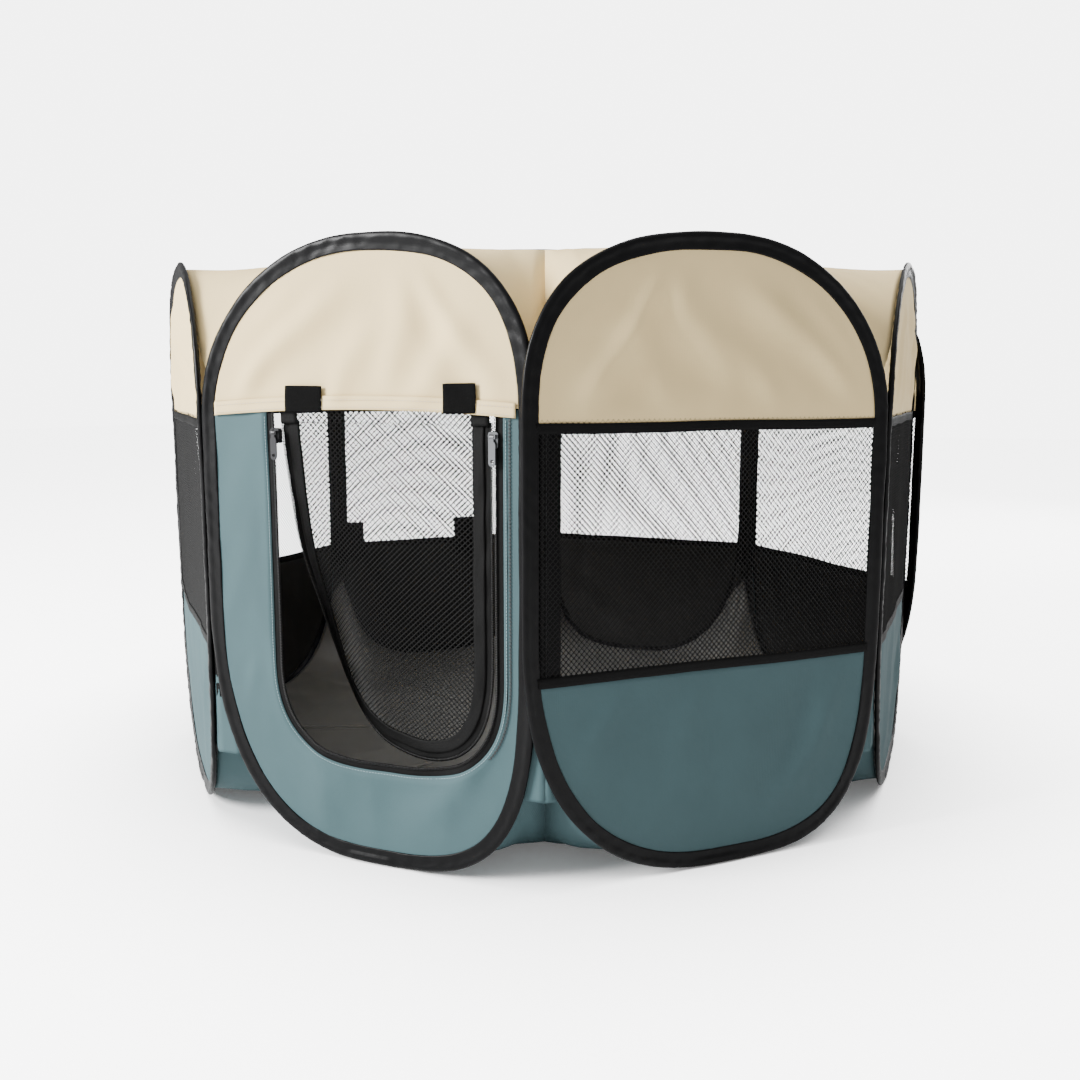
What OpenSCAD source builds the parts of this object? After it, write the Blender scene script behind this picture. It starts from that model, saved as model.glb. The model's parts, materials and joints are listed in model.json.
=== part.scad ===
// Eight-panel folding pet playpen: sprung hoops in fabric sleeves, net windows, zipped net door,
// fabric floor and a lift-off net roof. Millimetres, Z up, origin under the middle on the ground,
// door panel facing -Y. Each panel is drawn facing -Y and turned about the Z axis into its place.

/* [Overall] */
// distance from one corner of the octagon to the next
panel_w = 356; // [260:2:440]
// height of the hoops, which stand on the ground
pen_h = 580; // [480:2:680]

/* [Hoops and sleeves] */
// height where the straight sides end and the top arc begins
arc_top_z = 417; // [380:1:450]
// height where the bottom arc ends and the straight sides begin
arc_bottom_z = 244; // [200:1:280]
// roundness of the top arc towards a lapped corner (2 is an ellipse)
arc_top_lap_e = 2.65; // [2:0.05:3.2]
// roundness of the top arc towards a corner where the sleeves only meet
arc_top_free_e = 2; // [1.9:0.05:3]
// roundness of the bottom arc's left side
arc_bottom_left_e = 2.4; // [2:0.05:3.5]
// roundness of the bottom arc's right side
arc_bottom_right_e = 3.5; // [2:0.05:4]
// width of the binding sleeve on the hoop
sleeve_w = 16; // [12:0.5:24]
// thickness of the binding sleeve
sleeve_t = 6; // [5:0.25:8]
// width and thickness of the spring wire
wire_t = 3; // [2:0.25:3.5]
// how far an overlapping sleeve passes the corner
lap = 22; // [10:1:26]
// how far the sleeve behind an overlap stops short of the corner
tuck = 8.5; // [8:0.25:12]
// how far the other sleeves stop short of the corner
corner_gap = 1.6; // [1.5:0.1:4]

/* [Walls] */
// thickness of the wall fabric
fabric_t = 1; // [0.6:0.1:1.5]
// thickness of the netting
net_t = 0.8; // [0.6:0.1:1.2]
// height of the lower edge of the upper wall
upper_z = 417; // [380:1:440]
// height of the upper edge of the lower wall
lower_z = 195; // [150:1:250]
// width of the tape along the edges of the windows
tape_w = 9; // [6:0.5:14]

/* [Door] */
// middle of the door opening, to the right of the panel's middle
door_x = 20.5; // [0:0.5:24]
// half the width of the door opening
door_half_w = 112.5; // [90:0.5:124]
// height of the opening's lowest point
door_z = 100; // [60:1:140]
// height where the opening's round bottom begins
door_arc_z = 200; // [180:1:230]
// roundness of the opening's bottom
door_e = 3; // [2:0.1:4]
// width of the zip tape around the opening
zip_tape_w = 9; // [6:0.5:12]
// how far the flap hangs inwards from the wall, in degrees
flap_rest = 6; // [5:0.5:20]
// half the width of the flap
flap_half_w = 106; // [80:1:109]
// middle of the flap, to the right of the panel's middle
flap_x = 21; // [0:1:22]
// length of the flap from its fold line
flap_l = 306; // [240:1:307]
// width of the binding around the flap
flap_binding_w = 10; // [7:0.5:14]
// left edge of the left hook patch
patch_left_x = -76.5; // [-100:0.5:-60]
// left edge of the right hook patch
patch_right_x = 84.5; // [60:0.5:100]
// height of the lower edge of both patches
patch_z = 424; // [420:0.5:440]
// width of the left hook patch
patch_left_w = 38; // [30:0.5:45]
// width of the right hook patch
patch_right_w = 31; // [25:0.5:40]
// height of a hook patch
patch_h = 23; // [18:0.5:28]
// width of a tab on the inside of the back-left panel
tab_w = 40; // [25:1:44]
// length of a tab
tab_l = 60; // [45:1:70]

/* [Roof and floor] */
// radius of the round roof opening
roof_r = 300; // [240:5:320]
// thickness of the roof and floor fabric
sheet_t = 1.4; // [1:0.1:2]
// height of the sewn corner of the floor
floor_corner_z = 140; // [90:1:150]
// height of the sewn corner of the roof
roof_corner_z = 455; // [430:1:480]

/* [Hidden] */

panels = 8;
apothem = panel_w / 2 / tan(180 / panels);
corner_r = panel_w / 2 / sin(180 / panels);
arc_n = 28;
trim_t = 0.9;
hook_t = 1.6;
tab_x = [-38, 131];
tab_drop = 20;
seam_lap = 3;
top_lap = 4;
seam_y = fabric_t / 2 + trim_t / 2;
roof_z = pen_h - 6;
ring_n = 96;
slider_w = 9;
slider_l = 14;
slider_z = 402;
chain_w = 2.6;
chain_t = 2;
bail_r = 0.8;
bail_gap = 0.3;
eye_r = 1.65;
pull_l = 26;
flap_z = 410;
flap_y = 2;
flap_straight = 0.62;
floor_flat = 0.68;
pull_stand = 4.8;
pull_rise = 3;
bail_w = 6.4;
zip_r = roof_r - 3;
ferrule_l = 34;

black = [0.06, 0.06, 0.065];
beige = [0.86, 0.82, 0.73];
teal = [0.38, 0.49, 0.52];
grey = [0.24, 0.24, 0.25];
steel = [0.66, 0.67, 0.69];

// ---- outlines, in the plane of a panel: x to the right, y up ----

// distance to the outline of a rounded lobe in direction t
function lobe_r(hw, rise, e, t) =
    pow(pow(abs(cos(t)) / hw, e) + pow(abs(sin(t)) / rise, e), -1 / e);

// half a rounded outline, w and e each given for the left and the right side
function lobe(w, rise, e, n) =
    [for (i = [0:n])
        let (t = 180 * i / n, side = cos(t) < 0 ? 0 : 1, r = lobe_r(w[side], rise, e[side], t))
        [r * cos(t), r * sin(t)]];

// an odd panel passes over the corner on its left; an even one stops short on its right
function overlaps(k) = k % 2 == 1;
function left_of(k) = overlaps(k) ? panel_w / 2 + lap : panel_w / 2 - corner_gap;
function right_of(k) = overlaps(k) ? panel_w / 2 - corner_gap : panel_w / 2 - tuck;
function top_e(k) = overlaps(k) ? [arc_top_lap_e, arc_top_free_e] : [arc_top_free_e, arc_top_lap_e];
bottom_e = [arc_bottom_left_e, arc_bottom_right_e];

// closed outline of a hoop, moved inwards by inset
function hoop_outline(inset, k) =
    let (w = [left_of(k) - inset, right_of(k) - inset],
         top = lobe(w, pen_h - arc_top_z - inset, top_e(k), arc_n),
         low = lobe(w, arc_bottom_z - inset, bottom_e, arc_n))
    concat([for (p = top) [p.x, arc_top_z + p.y]],
           [for (i = [arc_n:-1:0]) [low[i].x, arc_bottom_z - low[i].y]]);

// how high an arc stands over its straight sides at x
function arc_rise(x, rise, half, e) = rise * pow(1 - pow(abs(x) / half, e), 1 / e);

// height of the top arc, and of the bottom arc, over x
function top_z(x, inset, k) =
    arc_top_z + arc_rise(x, pen_h - arc_top_z - inset,
        (x < 0 ? left_of(k) : right_of(k)) - inset, top_e(k)[x < 0 ? 0 : 1]);

function bottom_z(x, inset, k) =
    arc_bottom_z - arc_rise(x, arc_bottom_z - inset,
        (x < 0 ? left_of(k) : right_of(k)) - inset, bottom_e[x < 0 ? 0 : 1]);

// outline of the door opening or flap: straight sides and a round bottom
function door_outline(mid, half, top, arc, low) =
    let (b = lobe([half, half], arc - low, [door_e, door_e], arc_n))
    concat([[mid + half, top], [mid - half, top]],
           [for (i = [arc_n:-1:0]) [mid + b[i].x, arc - b[i].y]]);

// ---- helpers ----

module on_panel(k) {
    rotate([0, 0, 45 * k])
        translate([0, -apothem, 0])
            children();
}

// a flat outline stood up in the panel's plane, y inwards of it
module upright(t, y) {
    translate([0, y, 0])
        rotate([90, 0, 0])
            linear_extrude(height = t, center = true)
                children();
}

module hoop_area(inset, k) {
    polygon(hoop_outline(inset, k));
}

module ring_area(outer, inner, k) {
    difference() {
        hoop_area(outer, k);
        hoop_area(inner, k);
    }
}

// the part of a panel's inside between two heights
module wall_area(k, z0, z1) {
    intersection() {
        hoop_area(sleeve_w - 3, k);
        translate([-panel_w, z0])
            square([2 * panel_w, z1 - z0]);
    }
}

module door_area(mid, half, top, arc, low) {
    polygon(door_outline(mid, half, top, arc, low));
}

// ---- panels ----

// spring wire bent into a closed hoop, its ends held in a crimped tube
module hoop(k) {
    color(steel)
        on_panel(k) {
            upright(wire_t, 0)
                ring_area(4, 4 + wire_t, k);
            translate([-ferrule_l / 2, -wire_t / 2 - 0.4, 3.6])
                cube([ferrule_l, wire_t + 0.8, wire_t + 0.9]);
        }
}

// binding folded over the hoop, with the hoop's channel and a groove for the wall
module sleeve(k) {
    color(black)
        on_panel(k)
            difference() {
                upright(sleeve_t, 0)
                    ring_area(0, sleeve_w, k);
                upright(sleeve_t - 1.6, 0)
                    ring_area(1.6, 9.4, k);
                upright(fabric_t + 0.1, 0)
                    ring_area(sleeve_w - 3.2, sleeve_w + 1, k);
            }
}

module upper_wall(k) {
    color(beige)
        on_panel(k)
            upright(fabric_t, 0)
                wall_area(k, upper_z, pen_h);
}

module lower_wall(k) {
    color(teal)
        on_panel(k)
            upright(fabric_t, 0)
                wall_area(k, 0, lower_z);
}

module net(k) {
    color(black)
        on_panel(k)
            upright(net_t, 0)
                wall_area(k, lower_z, upper_z);
}

// a strip of tape inside and outside along each edge of the window
module tapes(k) {
    color(black)
        on_panel(k) {
            for (z = [upper_z - tape_w, lower_z - tape_w / 2])
                for (y = [-seam_y, seam_y])
                    upright(trim_t, y)
                        tape_area(k, z);
            if (k == 5)
                for (x = tab_x)
                    upright(hook_t, fabric_t / 2 + trim_t + hook_t / 2)
                        translate([x - tab_w / 2, lower_z - tab_drop])
                            square([tab_w, tab_l]);
        }
}

module tape_area(k, z) {
    intersection() {
        hoop_area(sleeve_w, k);
        translate([-panel_w, z])
            square([2 * panel_w, tape_w]);
    }
}

// ---- door ----

module surround() {
    color(teal)
        on_panel(0)
            upright(fabric_t, 0)
                difference() {
                    wall_area(0, 0, upper_z);
                    door_area(door_x, door_half_w + zip_tape_w - seam_lap, upper_z - top_lap,
                        door_arc_z, door_z - zip_tape_w + seam_lap);
                }
}

// zip tape around the opening, with its half of the coil on the inner edge
module zip_tape() {
    color(black)
        on_panel(0) {
            upright(trim_t, -seam_y)
                difference() {
                    door_area(door_x, door_half_w + zip_tape_w, upper_z - top_lap,
                        door_arc_z, door_z - zip_tape_w);
                    door_area(door_x, door_half_w, upper_z, door_arc_z, door_z);
                }
            upright(chain_t, -seam_y)
                difference() {
                    door_area(door_x, door_half_w, upper_z - top_lap, door_arc_z, door_z);
                    door_area(door_x, door_half_w - chain_w, upper_z, door_arc_z,
                        door_z + chain_w);
                }
        }
}

module hook_patches() {
    color(black)
        on_panel(0) {
            for (side = [[patch_left_x, patch_left_w], [patch_right_x, patch_right_w]])
                upright(hook_t, -fabric_t / 2 - hook_t / 2)
                    translate([side[0], patch_z])
                        square([side[1], patch_h]);
        }
}

// the flap's own frame: origin on its fold line, hanging down
module on_flap() {
    on_panel(0)
        translate([flap_x, flap_y, flap_z])
            rotate([flap_rest, 0, 0])
                children();
}

module flap_area(inset, top) {
    door_area(0, flap_half_w - inset, top, -flap_l * flap_straight, -flap_l + inset);
}

module flap_net() {
    color(black)
        on_flap()
            upright(net_t, 0)
                flap_area(4, -1.5);
}

module flap_binding() {
    color(black)
        on_flap() {
            for (y = [-1, 1])
                upright(1.2, y * (net_t / 2 + 0.6))
                    difference() {
                        flap_area(0, -1.5);
                        flap_area(flap_binding_w, 1);
                    }
            upright(net_t, 0)
                difference() {
                    flap_area(0, -1.5);
                    flap_area(4, 1);
                }
        }
}

// zip slider: two plates joined by a post beside the coil, with a bail for the pull
module slider(side) {
    post_x = -side * (chain_w + 1.1);
    color(steel) {
        for (y = [-1, 1])
            translate([0, y * 2.3, 0])
                rotate([90, 0, 0])
                    linear_extrude(height = 1, center = true)
                        slider_area();
        translate([post_x - 0.9, -2.3, -3])
            cube([1.8, 4.6, 8]);
        for (x = [-2.6, 2.6])
            translate([x - 0.6, -5.8, 1.2])
                cube([1.2, 3.4, 3.6]);
        translate([-bail_w / 2, -pull_stand, pull_rise])
            rotate([0, 90, 0])
                cylinder(h = 6.4, r = bail_r, $fn = 32);
    }
}

module slider_area() {
    hull_w = slider_w / 2 - 2;
    translate([-slider_w / 2, -slider_l / 2 + 2])
        square([slider_w, slider_l - 4]);
    translate([-hull_w, -slider_l / 2])
        square([2 * hull_w, slider_l]);
    for (x = [-hull_w, hull_w])
        for (z = [-slider_l / 2 + 2, slider_l / 2 - 2])
            translate([x, z])
                circle(r = 2, $fn = 32);
}

// zip pull: an eye round the bail and a drop-shaped tab
module pull() {
    color(steel)
        difference() {
            union() {
                rotate([0, 90, 0])
                    cylinder(h = 3.6, r = eye_r, center = true, $fn = 32);
                rotate([90, 0, 0])
                    linear_extrude(height = 1.4, center = true)
                        pull_area();
            }
            rotate([0, 90, 0])
                cylinder(h = 6, r = bail_r + bail_gap, center = true, $fn = 32);
            rotate([90, 0, 0])
                translate([0, -pull_l + 5, -2])
                    cylinder(h = 4, r = 1.6, $fn = 32);
        }
}

module pull_area() {
    translate([-1.6, -8])
        square([3.2, 8]);
    translate([-3.2, -pull_l + 4])
        square([6.4, pull_l - 11]);
    translate([0, -7])
        circle(r = 3.2, $fn = 32);
    translate([0, -pull_l + 4])
        circle(r = 3.2, $fn = 32);
}

function slider_x(side) = door_x + side * (door_half_w - chain_w / 2);

module door_slider(side) {
    on_panel(0)
        translate([slider_x(side), -seam_y, slider_z])
            slider(side);
}

module door_pull(side) {
    on_panel(0)
        translate([slider_x(side), -seam_y - pull_stand, slider_z + pull_rise])
            pull();
}

// ---- floor and roof ----

// points across one panel, where the floor and the roof are sewn to its arc
sewn_x = [-153, -141, -115, -78, -39, 0, 39, 78, 115, 141, 153];
sewn_n = len(sewn_x) + 1;
sewn_inset = 8;
sewn_y = sleeve_t / 2 + 0.6;
cols = panels * sewn_n;

// the sewn edge of column c, with the corner last in each panel
function edge_point(c, roof) =
    let (k = floor(c / sewn_n), i = c % sewn_n, turn = 45 * k)
    i == sewn_n - 1
    ? let (r = corner_r - 11, t = turn - 90 + 22.5)
        [r * cos(t), r * sin(t), roof ? roof_corner_z : floor_corner_z]
    : let (x = sewn_x[i] * panel_w / 356, y = -(apothem - sewn_y),
           z = roof ? top_z(x, sewn_inset, k) : bottom_z(x, sewn_inset, k))
        [x * cos(turn) - y * sin(turn), x * sin(turn) + y * cos(turn), z];

// the same column where the sheet has become flat
function flat_point(c, r, z) =
    let (p = edge_point(c, false), t = atan2(p.y, p.x))
    [r * cos(t), r * sin(t), z];

// share of the way from the flat part to the sewn edge, and of the change in height
rows = [0, 0.25, 0.5, 0.72, 0.88, 1];
function lift(s) = pow(s, 3);

function sheet_point(c, s, r, z, roof, down) =
    let (e = edge_point(c, roof), f = flat_point(c, r, z))
    [f.x + (e.x - f.x) * s, f.y + (e.y - f.y) * s, f.z + (e.z - f.z) * lift(s) - down];

function sheet_points(r, z, roof) =
    [for (d = [0, sheet_t]) for (s = rows) for (c = [0:cols - 1])
        sheet_point(c, s, r, z, roof, d)];

function at(side, j, c) = (side * len(rows) + j) * cols + c % cols;

// upper and lower skins, and the outer rim
function skin_faces() =
    [for (j = [0:len(rows) - 2]) for (c = [0:cols - 1]) for (f = [
        [at(0, j, c), at(0, j, c + 1), at(0, j + 1, c)],
        [at(0, j, c + 1), at(0, j + 1, c + 1), at(0, j + 1, c)],
        [at(1, j, c), at(1, j + 1, c), at(1, j, c + 1)],
        [at(1, j, c + 1), at(1, j + 1, c), at(1, j + 1, c + 1)]]) f];

function rim_faces(j) =
    [for (c = [0:cols - 1]) for (f = [
        [at(0, j, c), at(0, j, c + 1), at(1, j, c)],
        [at(0, j, c + 1), at(1, j, c + 1), at(1, j, c)]]) f];

function turned(faces) = [for (f = faces) [f[2], f[1], f[0]]];

module floor_sheet() {
    last = len(rows) - 1;
    color(grey)
        polyhedron(
            points = sheet_points(corner_r * floor_flat, sheet_t, false),
            faces = concat(skin_faces(), rim_faces(last),
                [[for (c = [cols - 1:-1:0]) at(0, 0, c)], [for (c = [0:cols - 1]) at(1, 0, c)]]));
}

module collar() {
    last = len(rows) - 1;
    color(beige)
        polyhedron(
            points = sheet_points(roof_r, roof_z, true),
            faces = concat(skin_faces(), rim_faces(last), turned(rim_faces(0))));
}

// half of the roof's zip, on the collar's round edge
module roof_zip() {
    color(black)
        translate([0, 0, roof_z])
            difference() {
                cylinder(h = 2, r = roof_r + 4, $fn = ring_n);
                translate([0, 0, -1])
                    cylinder(h = 4, r = zip_r + 1.2, $fn = ring_n);
            }
}

// round net with a bound edge and the other half of the zip
module roof_cover() {
    color(black) {
        translate([0, 0, roof_z])
            cylinder(h = net_t, r = zip_r - 10, $fn = ring_n);
        translate([0, 0, roof_z])
            difference() {
                cylinder(h = 2, r = zip_r + 0.6, $fn = ring_n);
                translate([0, 0, -1])
                    cylinder(h = 4, r = zip_r - 10, $fn = ring_n);
            }
    }
}

// the roof's slider stands on the zip, on the door's side
module roof_slider() {
    translate([0, -zip_r - 1, roof_z + 1])
        rotate([-90, 0, 0])
            rotate([0, 90, 0])
                roof_slider_body();
}

module roof_slider_body() {
    color(steel) {
        translate([0, -2.1, 0])
            rotate([90, 0, 0])
                linear_extrude(height = 1, center = true)
                    slider_area();
        for (x = [-2.6, 2.6])
            translate([x - 0.6, -5.8, 1.2])
                cube([1.2, 3.4, 3.6]);
        translate([-bail_w / 2, -pull_stand, pull_rise])
            rotate([0, 90, 0])
                cylinder(h = 6.4, r = bail_r, $fn = 32);
    }
}

module roof_pull() {
    translate([0, -zip_r - 1, roof_z + 1])
        rotate([-90, 0, 0])
            rotate([0, 90, 0])
                translate([0, -pull_stand, pull_rise])
                    pull();
}

// ---- parts ----

hoop(0);  // door_hoop
sleeve(0);  // door_sleeve
upper_wall(0);  // door_upper_wall
surround();  // door_surround
zip_tape();  // door_zip_tape
hook_patches();  // door_hook_patches
flap_net();  // door_flap_net
flap_binding();  // door_flap_binding
door_slider(-1);  // door_slider_left
door_slider(1);  // door_slider_right
door_pull(-1);  // door_pull_left
door_pull(1);  // door_pull_right
floor_sheet();  // floor
collar();  // roof_collar
roof_zip();
roof_cover();
roof_slider();
roof_pull();
hoop(1);  // hoop_1
hoop(2);  // hoop_2
hoop(3);  // hoop_3
hoop(4);  // hoop_4
hoop(5);  // hoop_5
hoop(6);  // hoop_6
hoop(7);  // hoop_7
sleeve(1);  // sleeve_1
sleeve(2);  // sleeve_2
sleeve(3);  // sleeve_3
sleeve(4);  // sleeve_4
sleeve(5);  // sleeve_5
sleeve(6);  // sleeve_6
sleeve(7);  // sleeve_7
upper_wall(1);  // upper_wall_1
upper_wall(2);  // upper_wall_2
upper_wall(3);  // upper_wall_3
upper_wall(4);  // upper_wall_4
upper_wall(5);  // upper_wall_5
upper_wall(6);  // upper_wall_6
upper_wall(7);  // upper_wall_7
net(1);  // net_1
net(2);  // net_2
net(3);  // net_3
net(4);  // net_4
net(5);  // net_5
net(6);  // net_6
net(7);  // net_7
lower_wall(1);  // lower_wall_1
lower_wall(2);  // lower_wall_2
lower_wall(3);  // lower_wall_3
lower_wall(4);  // lower_wall_4
lower_wall(5);  // lower_wall_5
lower_wall(6);  // lower_wall_6
lower_wall(7);  // lower_wall_7
tapes(1);  // tapes_1
tapes(2);  // tapes_2
tapes(3);  // tapes_3
tapes(4);  // tapes_4
tapes(5);  // tapes_5
tapes(6);  // tapes_6
tapes(7);  // tapes_7
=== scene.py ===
"""Folding pet playpen: fabric walls in sprung hoops, netting, zipped door, floor and roof.

Lengths are metres. A panel's own coordinates are u (to the right, seen from outside), z (up)
and inward (from the panel's plane towards the middle of the pen).
"""
import json
import math

import bpy
import numpy as np
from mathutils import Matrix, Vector, noise

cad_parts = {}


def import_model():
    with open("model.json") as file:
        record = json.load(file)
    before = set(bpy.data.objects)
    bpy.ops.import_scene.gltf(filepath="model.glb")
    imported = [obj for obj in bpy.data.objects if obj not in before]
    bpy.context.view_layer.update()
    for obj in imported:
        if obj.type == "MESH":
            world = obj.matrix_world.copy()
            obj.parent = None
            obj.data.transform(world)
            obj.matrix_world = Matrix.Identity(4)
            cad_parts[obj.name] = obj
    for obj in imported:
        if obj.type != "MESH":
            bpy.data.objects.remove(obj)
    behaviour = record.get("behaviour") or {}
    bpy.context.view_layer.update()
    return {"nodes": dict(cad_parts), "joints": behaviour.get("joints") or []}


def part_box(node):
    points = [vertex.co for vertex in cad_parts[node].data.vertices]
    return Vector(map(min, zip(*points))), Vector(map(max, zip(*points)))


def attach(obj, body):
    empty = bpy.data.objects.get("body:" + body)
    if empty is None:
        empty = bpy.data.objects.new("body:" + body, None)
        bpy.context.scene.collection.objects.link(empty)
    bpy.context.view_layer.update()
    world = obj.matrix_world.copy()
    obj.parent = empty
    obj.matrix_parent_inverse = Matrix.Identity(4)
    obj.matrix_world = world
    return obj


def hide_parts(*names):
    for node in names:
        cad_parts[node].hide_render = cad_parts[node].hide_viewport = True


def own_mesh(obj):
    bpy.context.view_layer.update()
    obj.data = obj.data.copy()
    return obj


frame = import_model()

# ---- driving sizes, from the frame where it has them ----

PANELS = 8
TURN = math.tau / PANELS
SLEEVE_LOW, SLEEVE_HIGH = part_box("door_sleeve")
PEN_H = SLEEVE_HIGH.z
APOTHEM = -(SLEEVE_LOW.y + SLEEVE_HIGH.y) / 2
PANEL_W = 2 * APOTHEM * math.tan(TURN / 2)
CORNER_R = APOTHEM / math.cos(TURN / 2)
HALF_W = PANEL_W / 2
LAP = 0.022
TUCK = 0.0085
CORNER_GAP = 0.0016
ARC_TOP_Z, ARC_LOW_Z = 0.417, 0.244
LAP_TOP_E, FREE_TOP_E = 2.65, 2.0
LOW_E = (2.4, 3.5)
SLEEVE_W = 0.016
UPPER_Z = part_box("door_upper_wall")[0].z
LOWER_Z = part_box("net_2")[0].z
TAPE_W = 0.009
ROOF_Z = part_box("roof_cover")[0].z
ROOF_R = 0.300
SHEET_T = 0.0014
FLOOR_FLAT = 0.68
CLOTH_LAP = 0.004
TAPE_LAP = 0.003
ZIP_LOW, ZIP_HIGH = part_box("door_zip_tape")
ZIP_TAPE_W = 0.009
DOOR_X = (ZIP_LOW.x + ZIP_HIGH.x) / 2
DOOR_HALF_W = (ZIP_HIGH.x - ZIP_LOW.x) / 2 - ZIP_TAPE_W
DOOR_LOW_Z = ZIP_LOW.z + ZIP_TAPE_W
DOOR_ARC_Z, DOOR_E = 0.200, 3.0
FLAP_JOINT = next(j for j in frame["joints"] if j["name"] == "flap")
FLAP_POS = Vector(FLAP_JOINT["pos_m"])
FLAP_HALF_W = 0.106
FLAP_L = 0.306
FLAP_REST = math.radians(6)
FLAP_TOP = 0.006
FLAP_ARC = FLAP_L * 0.62
FLAP_ZIP_W = 0.0075
FLAP_EDGE_W = 0.0175
FLAP_NET_INSET = 0.012
FLAP_NET = {"thread": 0.00085, "pitch": (0.0056, 0.0050)}
HEM_Z, HEM_SAG, HEM_H, HEM_SPAN = 0.4265, 0.0046, 0.0125, 0.135
HEM_OUT, TRIM_OUT = 0.0024, 0.0032
DOOR_TOP_Z = HEM_Z + 0.001


def body_of_panel(k):
    return "door_panel" if k == 0 else f"panel_{k}"


def half_widths(k):
    """How far a panel's hoop reaches to the left and to the right of its middle."""
    if k % 2:
        return HALF_W + LAP, HALF_W - CORNER_GAP
    return HALF_W - CORNER_GAP, HALF_W - TUCK


def top_e(k):
    """Roundness of the top arc to the left and to the right."""
    return (LAP_TOP_E, FREE_TOP_E) if k % 2 else (FREE_TOP_E, LAP_TOP_E)


def name_of(k, what):
    return f"door_{what}" if k == 0 else f"{what}_{k}"


# ---- small maths ----


def fbm(x, y, z=0.0, octaves=3):
    """Smooth noise from about -1 to 1."""
    total, size = 0.0, 1.0
    for _ in range(octaves):
        total += size * noise.noise(Vector((x, y, z)))
        x, y, z, size = 2.03 * x + 5.1, 2.03 * y + 1.7, 2.03 * z + 3.3, size / 2
    return total


def ridge(x, y, z=0.0):
    """Noise with sharp crests, from 0 to about 1, as in creased cloth."""
    return max(0.0, 1 - abs(noise.noise(Vector((x, y, z)))) * 2.6)


def lobe_r(halves, rise, both_e, t):
    """Distance to a rounded lobe's outline in direction t; halves and both_e are (left, right)."""
    side = 0 if math.cos(t) < 0 else 1
    e = both_e[side]
    return ((abs(math.cos(t)) / halves[side]) ** e + (abs(math.sin(t)) / rise) ** e) ** (-1 / e)


def smooth(x):
    x = min(1.0, max(0.0, x))
    return x * x * (3 - 2 * x)


def resample(points, n, closed=False):
    """n points evenly spaced along a line of 2D or 3D points."""
    p = np.array(points, float)
    if closed:
        p = np.vstack([p, p[:1]])
    s = np.concatenate([[0], np.cumsum(np.linalg.norm(np.diff(p, axis=0), axis=1))])
    t = np.linspace(0, s[-1], n + 1)[:-1] if closed else np.linspace(0, s[-1], n)
    return np.stack([np.interp(t, s, p[:, i]) for i in range(p.shape[1])], 1)


def hoop_outline(k, inset, n=96):
    """Closed outline of a panel's hoop from its right side up over the top, moved inwards by inset."""
    halves = tuple(w - inset for w in half_widths(k))
    points = []
    for i in range(n + 1):
        t = math.pi * i / n
        r = lobe_r(halves, PEN_H - ARC_TOP_Z - inset, top_e(k), t)
        points.append((r * math.cos(t), ARC_TOP_Z + r * math.sin(t)))
    for i in range(n, -1, -1):
        t = math.pi * i / n
        r = lobe_r(halves, ARC_LOW_Z - inset, LOW_E, t)
        points.append((r * math.cos(t), ARC_LOW_Z - r * math.sin(t)))
    return points


def reach(k, inset, z, side):
    """How far the hoop's inside reaches at height z, to the left (-1) or right (1)."""
    i = 0 if side < 0 else 1
    half = half_widths(k)[i] - inset
    if z > ARC_TOP_Z:
        rise, e, d = PEN_H - ARC_TOP_Z - inset, top_e(k)[i], z - ARC_TOP_Z
    elif z < ARC_LOW_Z:
        rise, e, d = ARC_LOW_Z - inset, LOW_E[i], ARC_LOW_Z - z
    else:
        return side * half
    return side * half * max(0.0, 1 - (min(d, rise) / rise) ** e) ** (1 / e)


def door_outline(mid, half, top, arc, low, n=60):
    """A U: down the left side, round the bottom and up the right side."""
    points = [(mid - half, top)]
    for i in range(n + 1):
        t = math.pi * (1 - i / n)
        r = lobe_r((half, half), arc - low, (DOOR_E, DOOR_E), t)
        points.append((mid + r * math.cos(t), arc - r * math.sin(t)))
    points.append((mid + half, top))
    return points


def world(k, u, inward, z):
    """A point given in panel k's own coordinates, in the row frame."""
    a = k * TURN
    y = inward - APOTHEM
    return (u * math.cos(a) - y * math.sin(a), u * math.sin(a) + y * math.cos(a), z)


def flap_point(u, down, inward):
    """A point given in the flap's own coordinates, down from its fold line, in the row frame."""
    c, s = math.cos(FLAP_REST), math.sin(FLAP_REST)
    return (FLAP_POS.x + u, FLAP_POS.y + inward * c + down * s, FLAP_POS.z + inward * s - down * c)


# ---- meshes ----


def mesh_object(name, vertices, faces, materials, smooth_faces=True, indices=None):
    mesh = bpy.data.meshes.new(name)
    mesh.from_pydata([tuple(v) for v in vertices], [], [tuple(f) for f in faces])
    mesh.validate()
    for m in materials:
        mesh.materials.append(m)
    if indices is not None:
        mesh.polygons.foreach_set("material_index", indices)
    if smooth_faces:
        mesh.polygons.foreach_set("use_smooth", [True] * len(mesh.polygons))
    mesh.update()
    obj = bpy.data.objects.new(name, mesh)
    bpy.context.scene.collection.objects.link(obj)
    return obj


def grid_faces(rows, cols, wrap=False):
    faces = []
    for j in range(rows - 1):
        for i in range(cols if wrap else cols - 1):
            a, b = j * cols + i, j * cols + (i + 1) % cols
            faces.append((a, b, b + cols, a + cols))
    return faces


def solidify(obj, thickness, inner=0):
    """Thickness about the surface; inner picks the material of its inner side."""
    m = obj.modifiers.new("thickness", "SOLIDIFY")
    m.thickness = thickness
    m.offset = 0
    m.material_offset = inner
    m.use_even_offset = False
    return m


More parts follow.
